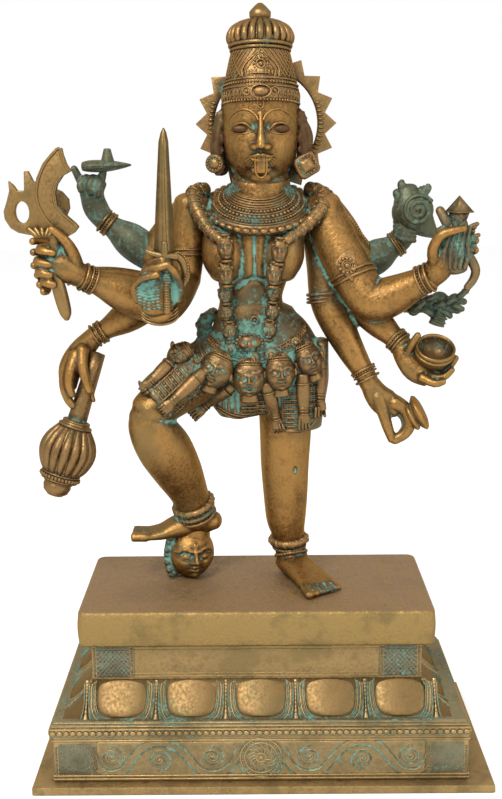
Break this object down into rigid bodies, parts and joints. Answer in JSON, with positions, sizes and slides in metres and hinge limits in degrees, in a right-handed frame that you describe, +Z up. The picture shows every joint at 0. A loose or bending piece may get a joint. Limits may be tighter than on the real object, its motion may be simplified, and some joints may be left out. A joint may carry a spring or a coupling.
{
  "type": "kali figure",
  "caption": "Cast bronze ten-armed goddess treading on a severed head, with a flame halo, tall crown and attributes in her hands, standing on a stepped lotus pedestal.",
  "frame": {"origin": "middle of the pedestal tiers' underside, on the floor under the middle of the slab", "axes": "+Z up, +X to the viewer's right when facing the goddess, -Y towards the viewer"},
  "size_m": [0.466, 0.223, 0.7404],
  "materials": {
    "bronze": "golden-brown cast bronze, satin on the raised skin, with turquoise verdigris in the carving"
  },
  "bodies": {
    "root": {"pedestal": "bronze", "figure": "bronze"}
  },
  "joints": []
}
